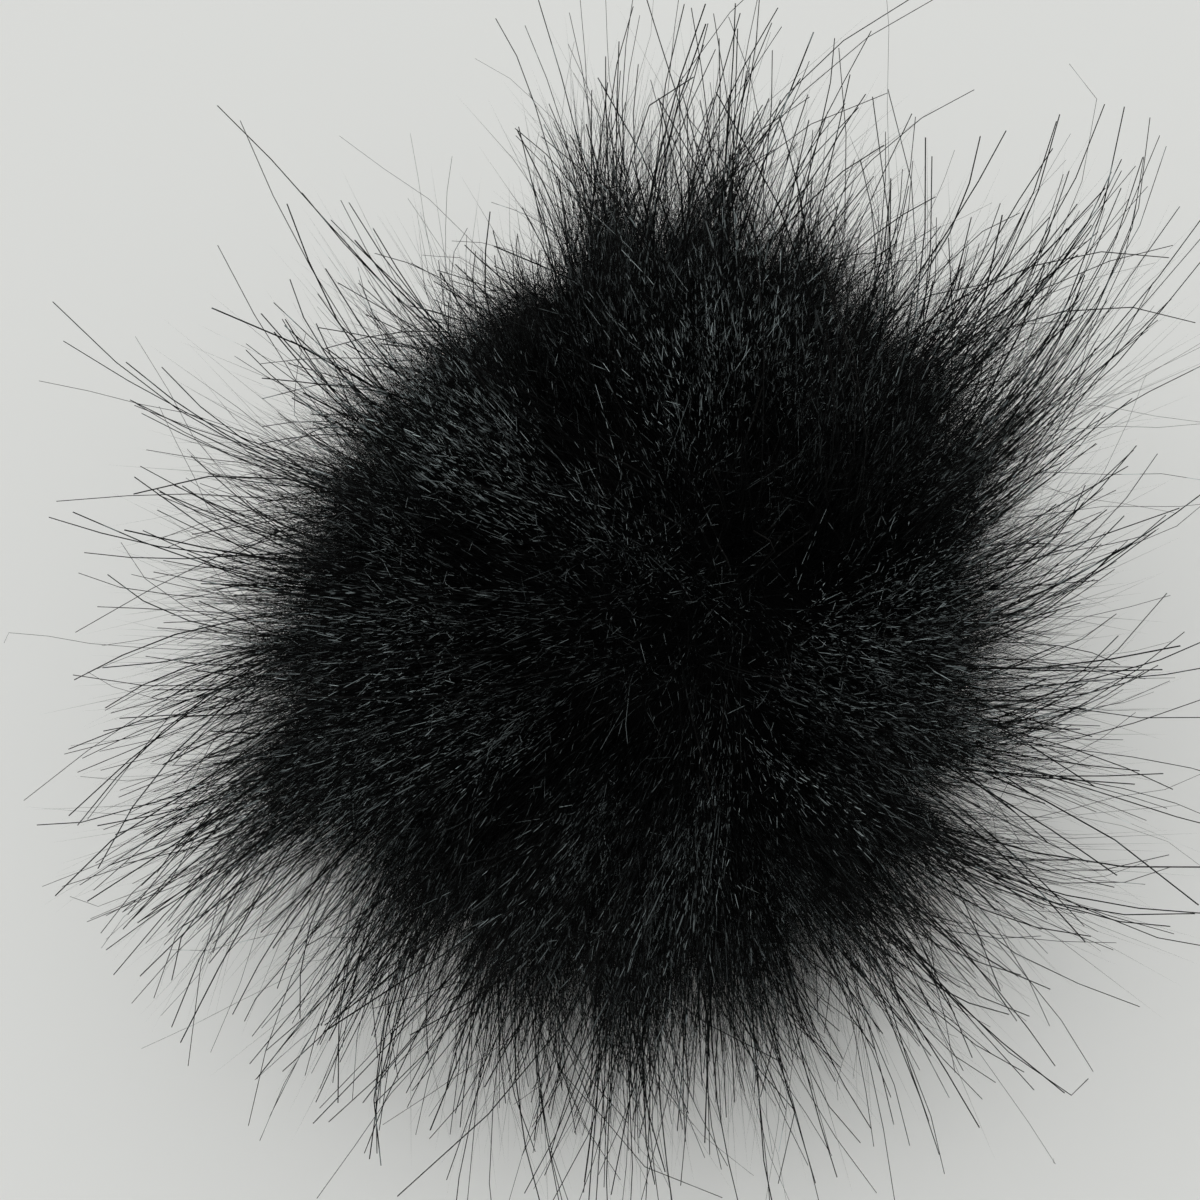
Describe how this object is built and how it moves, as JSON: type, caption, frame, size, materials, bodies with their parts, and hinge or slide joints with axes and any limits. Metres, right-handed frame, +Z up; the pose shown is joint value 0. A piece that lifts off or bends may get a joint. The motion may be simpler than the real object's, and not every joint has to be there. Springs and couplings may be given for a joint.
{
  "type": "faux fur pom pom",
  "caption": "Round long-pile faux fur pom pom, its pile standing out in loose tufts, flattened where it rests.",
  "frame": {"origin": "middle of the flat spot on which the pom pom rests", "axes": "+Z up from the surface it lies on, -Y towards the viewer's side, +X to the viewer's right"},
  "size_m": [0.1201, 0.117, 0.099],
  "materials": {
    "black_fur": "long acrylic pile, near-black with fine cool glints"
  },
  "bodies": {
    "root": {"fur_ball": "black_fur"}
  },
  "joints": []
}
